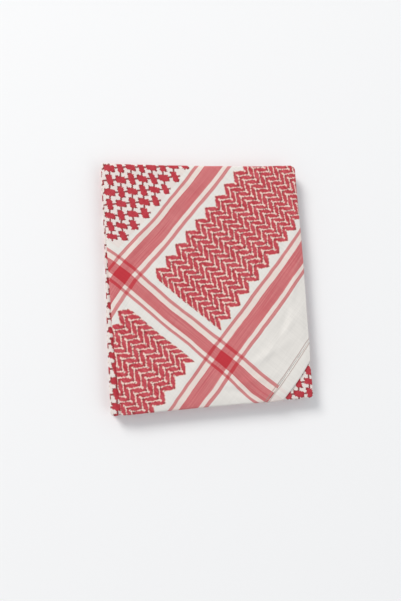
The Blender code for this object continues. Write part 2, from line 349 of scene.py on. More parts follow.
def herringbone(tree, from_edge, along):
    """The border's slanting strokes: (red, painted shade, here, tone).

    The painted shade falls at the tips where two strokes meet and in specks just past the floats' ends
    along ragged sides; the tone is a random one for each float.
    """
    corner = along < BORDER_CORNER
    along = along - corner * CORNER_ALONG
    row_number = (along / FLOAT_ROW).floor()
    phase = ((row_number + 0.5) * FLOAT_ROW / REPEAT).fraction()
    climb = phase.least(~phase) * REPEAT
    column = ((phase * 2.0).fraction() * 2.0 - 1.0).size()
    stroke = (from_edge + climb - STROKE_START - corner * CORNER_ACROSS) / STROKE_PITCH
    number = stroke.floor()
    across = (stroke.fraction() - 0.5).size()
    outward = (stroke.fraction() - 0.5) * (phase.between(0.25, 0.75) * -2.0 + 1.0)
    shade = speckle(tree, row_number, number, seed=11.0)
    upper = speckle(tree, row_number, (stroke * 2.0).floor(), seed=17.0)
    narrower = column * column * column * column * STROKE_ENDS
    half = (~narrower + (upper - 0.5) * STROKE_RAGGED) * (STROKE_SHARE / 2)
    joint = column > JOINT_FROM
    tip = (outward - JOINT_SHIFT).size() < half
    red = (across < half) * ~joint + tip * joint
    # Shade painted in specks just past the floats' ends, and at the tips where two strokes meet.
    rim = (across - half - SPECKS_OUT).size() < SPECKS_HALF
    shade_specks = rim * (speckle(tree, row_number, (stroke * 4.0).floor(), seed=23.0) > SPECKS_ABOVE)
    float_end_shade = (joint * tip * (outward > JOINT_SHIFT) * TIP_SHADE).most(shade_specks)
    middle = ((along / (REPEAT / 2)).floor() + 0.5) * (REPEAT / 2) + corner * CORNER_ALONG
    first = math.floor((BORDER[0] + 0.25 * REPEAT - STROKE_START) / STROKE_PITCH)
    inside = number.between(first - 0.5, first + STROKES - 0.5)
    beyond = number > (FIELD_START / STROKE_PITCH)
    side_column = middle.between(*BORDER)
    past_bands = middle > FIELD_START
    here = (inside * side_column.most(past_bands)).most(beyond * side_column)
    return red * here, float_end_shade * here, here, shade


def linked_motifs(tree, from_hem, from_other):
    """The field's oblong motifs, set across each other: (red, links and painted shade).

    The second marks the yarns that link them, and the shade painted on their tips.
    """
    pitch = REPEAT / math.sqrt(2)
    row_number = (from_other / FLOAT_ROW).floor()
    first = from_hem - MOTIF_START[0]
    second = (row_number + 0.5) * FLOAT_ROW - MOTIF_START[1]
    across = (second - first) / (math.sqrt(2) * pitch)
    up = (second + first) / (math.sqrt(2) * pitch)
    column = (across + 0.5).floor()
    line = (up + 0.5).floor()
    x = (across - column) * pitch
    y = (up - line) * pitch
    upright = ((column + line) / 2.0).fraction() > 0.25
    long = x + (y - x) * upright
    wide = y + (x - y) * upright
    longer = speckle(tree, row_number, column + line * 7.0, seed=5.0)
    wider = speckle(tree, row_number, column * 5.0 + line, seed=9.0)
    within_length = (long + wide * MOTIF_LEAN[0]).size() < longer * MOTIF_RAGGED[0] + MOTIF_HALF[0]
    within_width = (wide + long * MOTIF_LEAN[1]).size() < wider * MOTIF_RAGGED[1] + MOTIF_HALF[1]
    oblong = within_width * within_length
    link = ((x.size() < LINK_HALF) + (y.size() < LINK_HALF)) > 0.5
    centre_hem = (line - column) * (pitch / math.sqrt(2)) + MOTIF_START[0]
    centre_other = (line + column) * (pitch / math.sqrt(2)) + MOTIF_START[1]
    far = CLOTH_SIDE - FIELD_START
    here = centre_hem.between(FIELD_START, far) * centre_other.between(FIELD_START, far)
    # The motifs' tips get painted shade, in the link colour.
    tips = (long - wide).size() > MOTIF_TIPS
    return oblong * here, (link * ~oblong).most(tips * oblong * TIP_SHADE) * here


def woven_cotton(name, figure=1.0):
    """The scarf's cloth. figure is how strongly its woven figure shows: faintly on a turned hem.

    It reads the UV map "cloth", which says where on the flat square each spot lies, in metres: how
    far from the hem that shows, and how far from the next hem round.
    """
    material = bpy.data.materials.new(name)
    material.use_nodes = True
    tree = material.node_tree
    shader = tree.nodes["Principled BSDF"]
    uv = tree.nodes.new("ShaderNodeUVMap")
    uv.uv_map = "cloth"
    place = uv.outputs[0]
    from_hem, from_other = wandering(tree, place)
    near_hem = from_hem.least((from_hem * -1.0) + CLOTH_SIDE)
    near_other = from_other.least((from_other * -1.0) + CLOTH_SIDE)

    stroke, float_end_shade, border, shade = herringbone(tree, near_hem, near_other)
    oblong, link = linked_motifs(tree, from_hem, from_other)
    one = in_bands(near_hem, BANDS_BY_HEM)
    two = in_bands(near_other, BANDS_BY_OTHER)
    floats = stroke.most(oblong)
    near_edge = near_hem.least(near_other)
    first_line = (near_edge - EDGE_LINES[0]).size() < EDGE_LINE_WIDTH / 2
    line = first_line.most((near_edge - EDGE_LINES[1]).size() < EDGE_LINE_WIDTH / 2)

    yarn_a = (from_hem / YARN).floor()
    yarn_b = (from_other / YARN).floor()
    slub_a = speckle(tree, yarn_a, yarn_a * 0.0, seed=3.0)
    slub = slub_a + speckle(tree, yarn_b * 0.0, yarn_b, seed=7.0)
    over = ((yarn_a + yarn_b) / 2.0).fraction() * 2.0
    mottle = clouds(tree, place, MOTTLE_SIZE, MOTTLE_SIZE, detail=3.0)
    streak = clouds(tree, place, *STREAKS, detail=1.0) * one
    streak = streak + clouds(tree, place, *STREAKS[::-1], detail=1.0) * two * ~one

    field = near_hem.between(FIELD_START, CLOTH_SIDE) * near_other.between(FIELD_START, CLOTH_SIDE)
    ground = mixed(tree, border, WHITE_YARN, CREAM_YARN)
    ground = mixed(tree, field, ground, FIELD_YARN)
    tinged = in_sets(near_hem, BANDS_BY_HEM).most(in_sets(near_other, BANDS_BY_OTHER))
    ground = mixed(tree, tinged * WEAVE_SHARES["tinge"] * figure, ground, CREAM_YARN)
    paler = over * WEAVE_SHARES["band plait"] + slub * WEAVE_SHARES["band slub"]
    paler = paler + (streak - STREAK_MEAN) * WEAVE_SHARES["band streaks"]
    pink = mixed(tree, paler, PINK_WEAVE, PALE_WEAVE)
    colour = mixed(tree, one.most(two) * figure, ground, pink)
    colour = mixed(tree, one * two * figure, colour, RED_YARN)
    paler = shade * stroke * WEAVE_SHARES["float shade"] + slub * WEAVE_SHARES["float slub"]
    float_yarn = mixed(tree, paler, FLOAT_DARK, FLOAT_PALE)
    colour = mixed(tree, floats * figure, colour, float_yarn)
    row = ((from_other / FLOAT_ROW).fraction() - 0.5).size()
    # Shade painted in the grooves between the rows of floats.
    groove_shade = (row > GROOVE_SHADE_FROM) * floats * WEAVE_SHARES["groove_shade"]
    # Painted shade: in the grooves between the floats' rows, past their ends and at the strokes' tips.
    colour = mixed(tree, groove_shade.most(float_end_shade * WEAVE_SHARES["tip shade"]), colour, PAINTED_SHADE_BROWN)
    # The yarns that link the motifs, and the shade painted on the motifs' tips.
    colour = mixed(tree, link * WEAVE_SHARES["links"], colour, LINK_YARN_AND_TIP_SHADE)
    colour = mixed(tree, line * WEAVE_SHARES["edge lines"], colour, LINE_YARN)
    tone = tree.nodes.new("ShaderNodeHueSaturation")
    tree.links.new(colour, tone.inputs["Color"])
    brightness = mottle * WEAVE_SHARES["mottle"] + slub * WEAVE_SHARES["slub"] + LEAST_BRIGHT
    tree.links.new(brightness.socket, tone.inputs["Value"])
    tree.links.new(tone.outputs[0], shader.inputs["Base Color"])

    ridge_a = ((from_hem / YARN).fraction() - 0.5).size()
    ridge_b = ((from_other / YARN).fraction() - 0.5).size()
    plain = (ridge_a * over + ridge_b * ~over) * RELIEF["plait"]
    raised = floats * (row * -RELIEF["float"] + RELIEF["float"])
    bump = tree.nodes.new("ShaderNodeBump")
    bump.inputs["Strength"].default_value = 0.4
    bump.inputs["Distance"].default_value = 1.0 * MM
    tree.links.new((plain * ~floats + raised + mottle * RELIEF["mottle"]).socket, bump.inputs["Height"])
    tree.links.new(bump.outputs[0], shader.inputs["Normal"])
    shader.inputs["Roughness"].default_value = 0.88
    shader.inputs["Specular IOR Level"].default_value = 0.25
    shader.inputs["Sheen Weight"].default_value = 0.15
    shader.inputs["Sheen Roughness"].default_value = 0.5
    return material


patterned_cotton = woven_cotton("patterned_cotton")


def humps(rows, x, y):
    """The sum, at a place, of long soft ridges and troughs."""
    rise = 0.0
    for centre_x, centre_y, turn, long, wide, height in rows:
        c, s = math.cos(math.radians(turn)), math.sin(math.radians(turn))
        along = ((x - centre_x) * c + (y - centre_y) * s) / long
        over = ((y - centre_y) * c - (x - centre_x) * s) / wide
        if abs(along) < 3 and abs(over) < 3:
            rise += height * math.exp(-along ** 2 - over ** 2)
    return rise


def indoors(x, y):
    """From 0 at the packet's sides to 1 in its middle."""
    half_width, half_length = OUTLINE["right"][0], OUTLINE["back"][1]
    return max(0.0, 1 - (x / half_width) ** 2) * max(0.0, 1 - (y / half_length) ** 2)


def side_lines():
    """A corner and the way in for each side of the packet."""
    corners = [Vector(side[:2]) for side in OUTLINE.values()]
    for here, after in zip(corners, corners[1:] + corners[:1]):
        way = (after - here).normalized()
        yield here, Vector((-way.y, way.x))


SIDE_LINES = list(side_lines())


def side_wave(way, run):
    """How far a side moves in or out, this far along it."""
    wave, length, start, ripple, ripple_length, seed = SIDE_WAVES[way]
    rippled = ripple * noise.noise(Vector((run / ripple_length, seed, 0)))
    return wave * math.sin(run / length + start) + rippled


def settled(point):
    """A place in an even stack, moved to where the uneven, creased packet has it."""
    x, y, z = point
    level = max(0.0, z) / EDGE_HEIGHT
    inside = indoors(x, y)
    swell = CROWN * inside + humps(SWELLS, x, y) * min(1.0, 3 * inside)
    creased = humps(TOP_CREASES, x, y)
    for size, rise in RUMPLES:
        creased += rise * noise.noise(Vector((x / size, y / size, 0.3)))
    from_edge = min((Vector((x, y)) - corner).dot(inward) for corner, inward in SIDE_LINES)
    creased -= SHOULDER * math.exp(-(max(0.0, from_edge) / SHOULDER_REACH) ** 2)
    drift = DRIFT * noise.noise(Vector((x / DRIFT_LENGTH, y / DRIFT_LENGTH, z / DRIFT_HEIGHT)))
    sides = math.sin(math.pi * min(1.0, level))
    middle = math.sin(math.pi * min(1.0, level * 0.8))
    rise = swell * level ** 2 + creased * level ** 3 + drift * sides
    return Vector((x + side_wave("x", y) * middle, y + side_wave("y", x) * middle, z + rise))


class Station:
    """A place on an outline, the way in from it, and the sides that it belongs to."""

    def __init__(self, place, inward, sides):
        self.place = place
        self.inward = inward
        self.sides = sides

    def mix(self, table):
        """The value that a table gives for this side, blended round a corner."""
        return sum(share * table[side] for side, share in self.sides.items())

    def at(self, inset, z):
        spot = self.place + self.inward * inset
        return Vector((spot.x, spot.y, z))


def outline_stations(outline, radii):
    """Stations round a four-sided outline with rounded corners and bowed sides.

    Each side has as many steps as the grid that fills the layer, from the middle of one rounded
    corner to the middle of the next, anticlockwise from the front left.
    """
    names = list(outline)
    corners = [Vector(outline[name][:2]) for name in names]
    ways = [(corners[(i + 1) % 4] - corners[i]).normalized() for i in range(4)]
    inwards = [Vector((-way.y, way.x)) for way in ways]
    stations = []
    for i, name in enumerate(names):
        before, after = (i - 1) % 4, (i + 1) % 4
        near, far = radii[name], radii[names[after]]
        start = corners[i] + ways[i] * near
        end = corners[after] - ways[i] * far
        straight = (end - start).length
        near_arc, far_arc = near * math.pi / 4, far * math.pi / 4
        whole = near_arc + straight + far_arc
        steps = GRID[i % 2]
        for step in range(steps):
            run = whole * step / steps
            if run < near_arc:
                share = 0.5 + 0.5 * run / near_arc
                inward = inwards[before].slerp(inwards[i], share)
                place = start + inwards[i] * near - inward * near
                stations.append(Station(place, inward, {names[before]: 1 - share, name: share}))
            elif run > near_arc + straight:
                share = 0.5 * (run - near_arc - straight) / far_arc
                inward = inwards[i].slerp(inwards[after], share)
                place = end + inwards[i] * far - inward * far
                stations.append(Station(place, inward, {name: 1 - share, names[after]: share}))
            else:
                share = (run - near_arc) / straight
                bowed = inwards[i] * outline[name][2] * math.sin(math.pi * share)
                stations.append(Station(start.lerp(end, share) - bowed, inwards[i], {name: 1.0}))
    return stations


def grow_rings(mesh, edges, order, rings, spots):
    """Extrudes a closed edge loop through rings of points, and notes their places on the cloth."""
    flat = mesh.verts.layers.float_vector["flat"]
    for ring, spot in zip(rings, spots):
        grown = bmesh.ops.extrude_edge_only(mesh, edges=edges)["geom"]
        new = {part for part in grown if isinstance(part, bmesh.types.BMVert)}
        for vertex in new:
            for edge in vertex.link_edges:
                other = edge.other_vert(vertex)
                if other not in new:
                    order[vertex] = order[other]
            vertex.co = ring[order[vertex]]
            vertex[flat] = spot[order[vertex]]
        edges = [
            part for part in grown
            if isinstance(part, bmesh.types.BMEdge) and all(v in new for v in part.verts)
        ]


def filled_grid(edge, level, to_cloth):
    """A grid inside a ring of points, one for each of its boundary vertices."""
    across, along = GRID
    front, right = edge[:across + 1], edge[across:across + along + 1]
    back, left = edge[across + along:2 * across + along + 1][::-1], (edge + edge[:1])[-along - 1:][::-1]
    mesh = bmesh.new()
    flat = mesh.verts.layers.float_vector.new("flat")
    bmesh.ops.create_grid(mesh, x_segments=across, y_segments=along, size=1.0)
    order = {}
    for vertex in mesh.verts:
        column = round((vertex.co.x + 1) / 2 * across)
        row = round((vertex.co.y + 1) / 2 * along)
        u, v = column / across, row / along
        point = front[column].lerp(back[column], v) + left[row].lerp(right[row], u)
        point -= front[0].lerp(front[-1], u).lerp(back[0].lerp(back[-1], u), v)
        if row == 0:
            order[vertex] = column
        elif column == across:
            order[vertex] = across + row
        elif row == along:
            order[vertex] = 2 * across + along - column
        elif column == 0:
            order[vertex] = 2 * (across + along) - row
        vertex[flat] = to_cloth(point.x, point.y)
        vertex.co = settled(Vector((point.x, point.y, level)))
    return mesh, order


TURN_ANGLES = (12, 30, 50, 70, 90)      # the rings round a turned edge, in degrees


def turned_layer(stations, level, insets, turned, to_cloth, most_bend, way=-1):
    """A layer's outer skin: filled across, and turned down at its edges, or up where way is 1.

    to_cloth gives the place on the flat square of a spot; a turned edge is unrolled outwards.
    """
    rings, spots = [], []
    rows = list(zip(stations, insets, turned, [min(0.5 * turn, most_bend) for turn in turned]))

    def add(profile):
        """profile gives a station's (further inset, height turned, unrolled distance)."""
        ring, spot = [], []
        for s, inset, turn, bend in rows:
            further, height, unrolled = profile(turn, bend)
            ring.append(settled(s.at(inset + further, level + way * height)))
            flat = s.at(inset + bend - unrolled, 0)
            spot.append(to_cloth(flat.x, flat.y))
        rings.append(ring)
        spots.append(spot)

    for angle in TURN_ANGLES:
        c, s = math.cos(math.radians(angle)), math.sin(math.radians(angle))
        add(lambda turn, bend: (bend * (1 - s), bend * (1 - c), bend * math.radians(angle)))
    quarter = math.pi / 2
    add(lambda turn, bend: (0.0, 0.5 * (turn + bend), bend * quarter + 0.5 * (turn - bend)))
    add(lambda turn, bend: (0.12 * PLY, turn - 0.4 * PLY, bend * quarter + turn - bend))
    add(lambda turn, bend: (0.5 * PLY, turn, bend * quarter + turn - bend + 0.5 * PLY))
    add(lambda turn, bend: (1.2 * PLY, turn - 0.2 * PLY, bend * quarter + turn - bend + PLY))
    edge = [s.at(inset + bend, 0) for s, inset, turn, bend in rows]
    mesh, order = filled_grid(edge, level, to_cloth)
    grow_rings(mesh, [e for e in mesh.edges if e.is_boundary], order, rings, spots)
    return mesh


def made_piece(name, mesh, material):
    """Makes a drawn mesh into an object of one material."""
    data = bpy.data.meshes.new(name)
    mesh.to_mesh(data)
    mesh.free()
    data.materials.append(material)
    piece = bpy.data.objects.new(name, data)
    bpy.context.collection.objects.link(piece)
    return piece


def finish_cloth(name, mesh, material, thickness=PLY):
    """Makes a drawn skin, with its outer side out, into a piece of cloth with thickness."""
    flat = mesh.verts.layers.float_vector["flat"]
    uv = mesh.loops.layers.uv.new("cloth")
    middle = Vector((0, 0, EDGE_HEIGHT / 2))
    for face in mesh.faces:
        face.smooth = True
        for loop in face.loops:
            loop[uv].uv = loop.vert[flat].xy
    bmesh.ops.recalc_face_normals(mesh, faces=mesh.faces)
    if sum(f.normal.dot(f.calc_center_median() - middle) * f.calc_area() for f in mesh.faces) < 0:
        bmesh.ops.reverse_faces(mesh, faces=mesh.faces)
    piece = made_piece(name, mesh, material)
    solid = piece.modifiers.new("thickness", "SOLIDIFY")
    solid.thickness = thickness
    solid.offset = -1
    return piece


BACK_SPOT = (360 * MM, 340 * MM)        # the place on the flat square of the back's middle
DIAGONAL = math.sqrt(0.5)      # the threads run at 45 degrees to the hidden layers' sides


def back_on_cloth(x, y):
    """The back layer shows the next stretch of cloth."""
    return Vector((BACK_SPOT[0] - DIAGONAL * (x + y), BACK_SPOT[1] + DIAGONAL * (x - y), 0))


stations = outline_stations(OUTLINE, CORNER_RADII)
back_mesh = turned_layer(
    stations, 0.0, [BACK_SET_BACK] * len(stations), [s.mix(BACK_TURNED) for s in stations],
    back_on_cloth, BACK_BEND, way=1,
)
for vertex in back_mesh.verts:
    x, y, z = vertex.co
    if z < 0.1 * MM:
        vertex.co.z += humps(BACK_CREASES, x, y) * min(1.0, 4 * indoors(x, y))
back_cloth = finish_cloth("back_cloth", back_mesh, patterned_cotton)
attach(back_cloth, "root")
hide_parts("back_layer")

# ----------------------------------------
# The folded layers: the rest of the scarf, folded over and over between the back layer and the
# face. What shows of it is the fold noses down the packet's sides, fine ones on the left and
# right and coarse ones at the front and back.
# ----------------------------------------
STEP = 1.4 * MM                # from the face down to the layer under it
FACE_TURNED = {"front": 5.6 * MM, "right": 2.4 * MM, "back": 6.0 * MM, "left": 1.1 * MM}
UNDER_TURNED = {"front": 4.4 * MM, "right": 2.4 * MM, "back": 4.8 * MM, "left": 2.4 * MM}
NOSES = {
    # side:   (first, second, ...)   how far each stands back from the outline, from the lowest up
    "front": (0.4 * MM,),
    "right": (0.9 * MM, 2.0 * MM, 0.5 * MM, 1.6 * MM, 0.4 * MM, 1.8 * MM),
    "back": (1.1 * MM, 0.4 * MM),
    "left": (0.5 * MM, 1.7 * MM, 0.8 * MM, 2.3 * MM, 0.5 * MM, 1.3 * MM),
}
SIDE_NOSES = len(NOSES["left"])
NOSE_DEPTH = 2.2 * MM
NOSE_WANDER = 0.5 * MM
NOSE_WAVE = 29 * MM
NOSE_FLUTTER = 11 * MM
NOSE_RINGS = 10
NOSE_CLOTH = 42 * MM           # how much cloth each fold takes up, from one nose to the next
NOSE_SHOWS = 5.0 * MM          # how much of that shows
FOLD_SPOT = (300 * MM, 280 * MM)        # the place on the flat square where the noses start


def nose_front(station, side, number):
    """How far one nose's front stands back from the outline at a station."""
    run = station.place.y if side in ("left", "right") else station.place.x
    wave = math.sin(run / NOSE_WAVE + 2.1 * number + len(side))
    flutter = noise.noise(Vector((run / NOSE_FLUTTER, number * 5.3, len(side))))
    return NOSES[side][number] + NOSE_WANDER * (wave + 0.6 * flutter)


def nose_inset(station, side, share):
    """How far the folded layers stand back at a share of the height of a side's noses."""
    count = len(NOSES[side])
    number = min(int(share * count + 1e-6), count - 1)
    within = share * count - number
    front = nose_front(station, side, number)
    if within < 1e-6 and number > 0:
        front = max(front, nose_front(station, side, number - 1))
    return front + NOSE_DEPTH * (1 - math.sqrt(max(0.0, 1 - (2 * within - 1) ** 2)))


def fold_on_cloth(run, length):
    """The noses show one stretch of cloth round the packet's sides."""
    return Vector((FOLD_SPOT[0] + DIAGONAL * (run + length), FOLD_SPOT[1] + DIAGONAL * (run - length), 0))


lows = [s.mix(BACK_TURNED) + SEAM_GAP for s in stations]
highs = [
    min(EDGE_HEIGHT - s.mix(FACE_TURNED), EDGE_HEIGHT - STEP - s.mix(UNDER_TURNED)) - SEAM_GAP
    for s in stations
]
runs = [0.0]
for before, after in zip(stations, stations[1:]):
    runs.append(runs[-1] + (after.place - before.place).length)
rings, spots = [], []
for number in range(SIDE_NOSES):
    for ring in range(NOSE_RINGS + (number == SIDE_NOSES - 1)):
        within = (1 - math.cos(math.pi * ring / NOSE_RINGS)) / 2
        share = (number + within) / SIDE_NOSES
        length = within * NOSE_SHOWS + number * NOSE_CLOTH
        points = []
        for s, low, high in zip(stations, lows, highs):
            inset = sum(part * nose_inset(s, side, share) for side, part in s.sides.items())
            points.append(settled(s.at(inset, low + share * (high - low))))
        rings.append(points)
        spots.append([fold_on_cloth(run, length) for run in runs])
fold_mesh = bmesh.new()
flat = fold_mesh.verts.layers.float_vector.new("flat")
circle = bmesh.ops.create_circle(fold_mesh, segments=len(stations), radius=1.0)["verts"]
order = {vertex: i for i, vertex in enumerate(circle)}
for vertex, i in order.items():
    vertex.co = rings[0][i]
    vertex[flat] = spots[0][i]
grow_rings(fold_mesh, fold_mesh.edges[:], order, rings[1:], spots[1:])
fold_cloth = finish_cloth("fold_cloth", fold_mesh, patterned_cotton)
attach(fold_cloth, "root")
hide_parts("folded_layers")

# ----------------------------------------
# The layer under the face: the next stretch of the same cloth, which shows a strip of the field
# beside the face's left fold and a corner of it past the hem.
# ----------------------------------------
BEND = 2.2 * MM
HEM_ANGLE = math.radians(-39.0)
HEM_OUT = Vector((math.cos(HEM_ANGLE), math.sin(HEM_ANGLE), 0))
HEM_DISTANCE = 147.6 * MM
FACE_FOLD = {
    # where the face's left fold starts and ends, and how far its middle bows outwards
    "front": Vector((-102.8 * MM, -141.5 * MM)),
    "back": Vector((-113.2 * MM, 143.2 * MM)),
    "bow": 2.1 * MM,
}
UNDER_SET_BACK = {"front": STEP, "right": STEP, "back": STEP, "left": 0.0}
PAST_HEM = 3.0 * MM            # how far past the hem the layer starts to come out
COMES_OUT = 5.0 * MM           # and how soon it is out


def under_inset(station):
    """How far the layer stands back: where the face doesn't cover it, it reaches the outline."""
    shown = station.place.dot(HEM_OUT.xy) - HEM_DISTANCE - PAST_HEM
    if station.place.y < 0:
        shown = max(shown, FACE_FOLD["front"].x - station.place.x)
    return station.mix(UNDER_SET_BACK) * (1 - min(1.0, max(0.0, shown / COMES_OUT)))


DRAWN_OUT = 0.068              # how much longer the cloth is drawn along the packet's left side
DRAWN_FROM = (-88 * MM, -102.4 * MM)
DRAWN_OVER = 10 * MM
UNDER_MOTIF = (100.5 * MM, -129.6 * MM)  # where the centre of one motif lies on the packet
MOTIFS_IN = 50                 # motifs from there to the one at MOTIF_START


def under_on_cloth(x, y):
    """The under layer shows the field."""
    drawn = min(1.0, max(0.0, (DRAWN_FROM[0] - x) / DRAWN_OVER))
    y -= DRAWN_OUT * drawn * (y - DRAWN_FROM[1])
    across = (x - UNDER_MOTIF[0]) * DIAGONAL
    up = (y - UNDER_MOTIF[1]) * DIAGONAL + MOTIFS_IN * REPEAT / 2
    return Vector((MOTIF_START[0] + up - across, MOTIF_START[1] + up + across, 0))


TROUGH_DEPTH = 1.8 * MM        # beside the face's left fold, where the layer sinks
TROUGH_PLACE = 0.3 * MM        # from the fold's front to the trough's bottom, inwards
TROUGH_COLUMN = 1.0 * MM       # half of the way between two columns of the layer's grid
TROUGH_TOP = 1.5 * MM          # only the layer's top sinks, down to this far under it
TROUGH_END = 60 * MM           # where along the packet it ends
TROUGH_FADE = 40 * MM


def left_fold(y):
    """Where the face's left fold lies across the packet, at a place along it."""
    front, back = FACE_FOLD["front"], FACE_FOLD["back"]
    share = (y - front.y) / (back.y - front.y)
    return front.x + (back.x - front.x) * share - FACE_FOLD["bow"] * math.sin(math.pi * share)


under_mesh = turned_layer(
    stations, EDGE_HEIGHT - STEP, [under_inset(s) for s in stations],
    [s.mix(UNDER_TURNED) for s in stations], under_on_cloth, BEND,
)
flat = under_mesh.verts.layers.float_vector["flat"]
for vertex in under_mesh.verts:
    x, y, z = vertex.co
    beside = x - left_fold(y)
    on_top = z > EDGE_HEIGHT - STEP - TROUGH_TOP
    if on_top and abs(beside) < TROUGH_COLUMN and y < TROUGH_END:
        vertex.co.x -= beside - TROUGH_PLACE
        vertex.co.z -= TROUGH_DEPTH * min(1.0, (TROUGH_END - y) / TROUGH_FADE)
        vertex[flat] = under_on_cloth(vertex.co.x, y)
under_cloth = finish_cloth("under_cloth", under_mesh, patterned_cotton)
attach(under_cloth, "root")
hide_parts("under_layer")

# ----------------------------------------
# The face: the layer on top of the packet. Its front, right and back edges are turned down over
# the stack, its left edge is a fold that lies on the layer below, and it ends at the hem.
# ----------------------------------------
FACE_LEFT_RADIUS = 2.6 * MM
FACE_OUTLINE = OUTLINE | {
    "front": (*FACE_FOLD["front"], 0.0),
    "left": (*FACE_FOLD["back"], FACE_FOLD["bow"]),
}
FACE_PULLS = [
    # centre x, centre y, reach, and how far the cloth there is pulled askew: x, y
    (-102 * MM, 16 * MM, 45 * MM, -1.5 * MM, 7.5 * MM),
    (-92 * MM, 66 * MM, 34 * MM, -3.5 * MM, 0.5 * MM),
    (-106 * MM, 142 * MM, 38 * MM, 4.5 * MM, 3.5 * MM),
    (-46 * MM, 128 * MM, 30 * MM, 0.8 * MM, -2.0 * MM),
    (20 * MM, 128 * MM, 42 * MM, 1.8 * MM, -1.5 * MM),
    (100 * MM, 40 * MM, 42 * MM, 2.0 * MM, -1.6 * MM),
    (-14 * MM, -120 * MM, 34 * MM, -1.0 * MM, 0.8 * MM),
    (80 * MM, -112 * MM, 34 * MM, -1.0 * MM, -1.1 * MM),
    (44 * MM, -132 * MM, 26 * MM, -2.4 * MM, -2.8 * MM),
    (82 * MM, 108 * MM, 50 * MM, 3.0 * MM, -1.0 * MM),
    (90 * MM, 48 * MM, 34 * MM, 0.8 * MM, 2.8 * MM),
    (8 * MM, 104 * MM, 34 * MM, 0.3 * MM, -1.2 * MM),
    (10 * MM, -15 * MM, 58 * MM, -0.5 * MM, -1.6 * MM),
    (-42 * MM, 20 * MM, 26 * MM, -1.2 * MM, -1.2 * MM),
    (-42 * MM, -82 * MM, 34 * MM, 3.6 * MM, 0.4 * MM),
    (-76 * MM, -34 * MM, 24 * MM, 1.6 * MM, 1.6 * MM),
    (-80 * MM, -128 * MM, 30 * MM, -0.8 * MM, -2.2 * MM),
    (12 * MM, -125 * MM, 26 * MM, 0.6 * MM, -2.2 * MM),
    (96 * MM, -42 * MM, 46 * MM, 1.8 * MM, -1.2 * MM),
    (-80 * MM, 80 * MM, 40 * MM, 0.8 * MM, -2.0 * MM),
    (99 * MM, 31 * MM, 20 * MM, 1.4 * MM, 1.3 * MM),
    (94 * MM, -112 * MM, 30 * MM, 1.6 * MM, -0.2 * MM),
    (-18 * MM, -64 * MM, 28 * MM, -1.3 * MM, 1.1 * MM),
    (-10 * MM, -96 * MM, 20 * MM, -1.2 * MM, -0.4 * MM),
    (-98 * MM, -120 * MM, 26 * MM, -1.4 * MM, -0.8 * MM),
    (56 * MM, 54 * MM, 24 * MM, 1.0 * MM, 0.9 * MM),
]
RIM_WANDER = 0.24              # how much shallower a turned edge is in places
RIM_WAVES = (21 * MM, 8 * MM)  # how long its wide and its fine waves are
OTHER_ANGLE = math.radians(49.5)
OTHER_IN = Vector((math.cos(OTHER_ANGLE), math.sin(OTHER_ANGLE), 0))
OTHER_DISTANCE = 278.2 * MM
HEM_WIDTH = 12.5 * MM


def on_cloth(x, y):
    """The place on the flat square of a place on the packet's face."""
    spot = Vector((x, y, 0))
    for centre_x, centre_y, reach, pull_x, pull_y in FACE_PULLS:
        share = math.exp(-((x - centre_x) ** 2 + (y - centre_y) ** 2) / reach ** 2)
        spot -= Vector((pull_x, pull_y, 0)) * share
    return Vector((HEM_DISTANCE - spot.dot(HEM_OUT), OTHER_DISTANCE + spot.dot(OTHER_IN), 0))


def cut(mesh, place, way, drop=True):
    """Cuts a layer with an upright plane, and drops what lies on the way's side if asked to."""
    geometry = mesh.verts[:] + mesh.edges[:] + mesh.faces[:]
    bmesh.ops.bisect_plane(mesh, geom=geometry, plane_co=place, plane_no=way, clear_outer=drop)


def uneven(station, turn):
    """How deep an edge is turned down at a station, where its rim wanders."""
    x, y = station.place
    wander = noise.noise(Vector((x / RIM_WAVES[0], y / RIM_WAVES[0], 3.7)))
    wander += 0.5 * noise.noise(Vector((x / RIM_WAVES[1], y / RIM_WAVES[1], 1.2)))
    return turn * (1 - RIM_WANDER * min(1.0, max(0.0, 0.5 + 0.6 * wander)))


face_radii = CORNER_RADII | {"front": FACE_LEFT_RADIUS, "left": FACE_LEFT_RADIUS}
face_stations = outline_stations(FACE_OUTLINE, face_radii)
face_turned = [
    FACE_TURNED["left"] if "left" in s.sides else uneven(s, s.mix(FACE_TURNED))
    for s in face_stations
]
face_mesh = turned_layer(
    face_stations, EDGE_HEIGHT, [0.0] * len(face_stations), face_turned, on_cloth, BEND
)
cut(face_mesh, HEM_OUT * (HEM_DISTANCE - HEM_WIDTH - 0.5 * SEAM_GAP), HEM_OUT)
face_cloth = finish_cloth("face_cloth", face_mesh, patterned_cotton)
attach(face_cloth, "root")
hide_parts("face_layer")

# ----------------------------------------
# The hem: the cloth's edge, turned over and sewn down, so it is double and shows the cloth's
# paler back. It runs across the face's front right corner, its outer edge a soft fold.
# ----------------------------------------
HEM_RISE = 0.35 * MM
HEM_PROUD = 2.3 * MM           # how far its soft edge reaches past the sewn hem's even width
HEM_WAVE = 0.5 * MM            # how far that edge waves in and out, about a line this far in
HEM_WAVE_IN = 0.4 * MM
HEM_WAVE_LENGTH = 9 * MM
HEM_FIGURE = 0.12              # how strongly the woven figure shows on the cloth's back
STITCH_LINE = 2.2 * MM         # from the hem's inner edge
HEM_DIPS = [
    # from the outer edge, how deep the hem's top lies there
    (0.0, 0.45 * MM),
    (0.5 * MM, 0.2 * MM),
    (1.2 * MM, 0.05 * MM),
    (2.2 * MM, 0.0),
    (HEM_PROUD + HEM_WIDTH - STITCH_LINE - 1.2 * MM, 0.0),
    (HEM_PROUD + HEM_WIDTH - STITCH_LINE, 0.25 * MM),
    (HEM_PROUD + HEM_WIDTH - STITCH_LINE + 1.1 * MM, 0.02 * MM),
    (HEM_PROUD + HEM_WIDTH, 0.2 * MM),
]


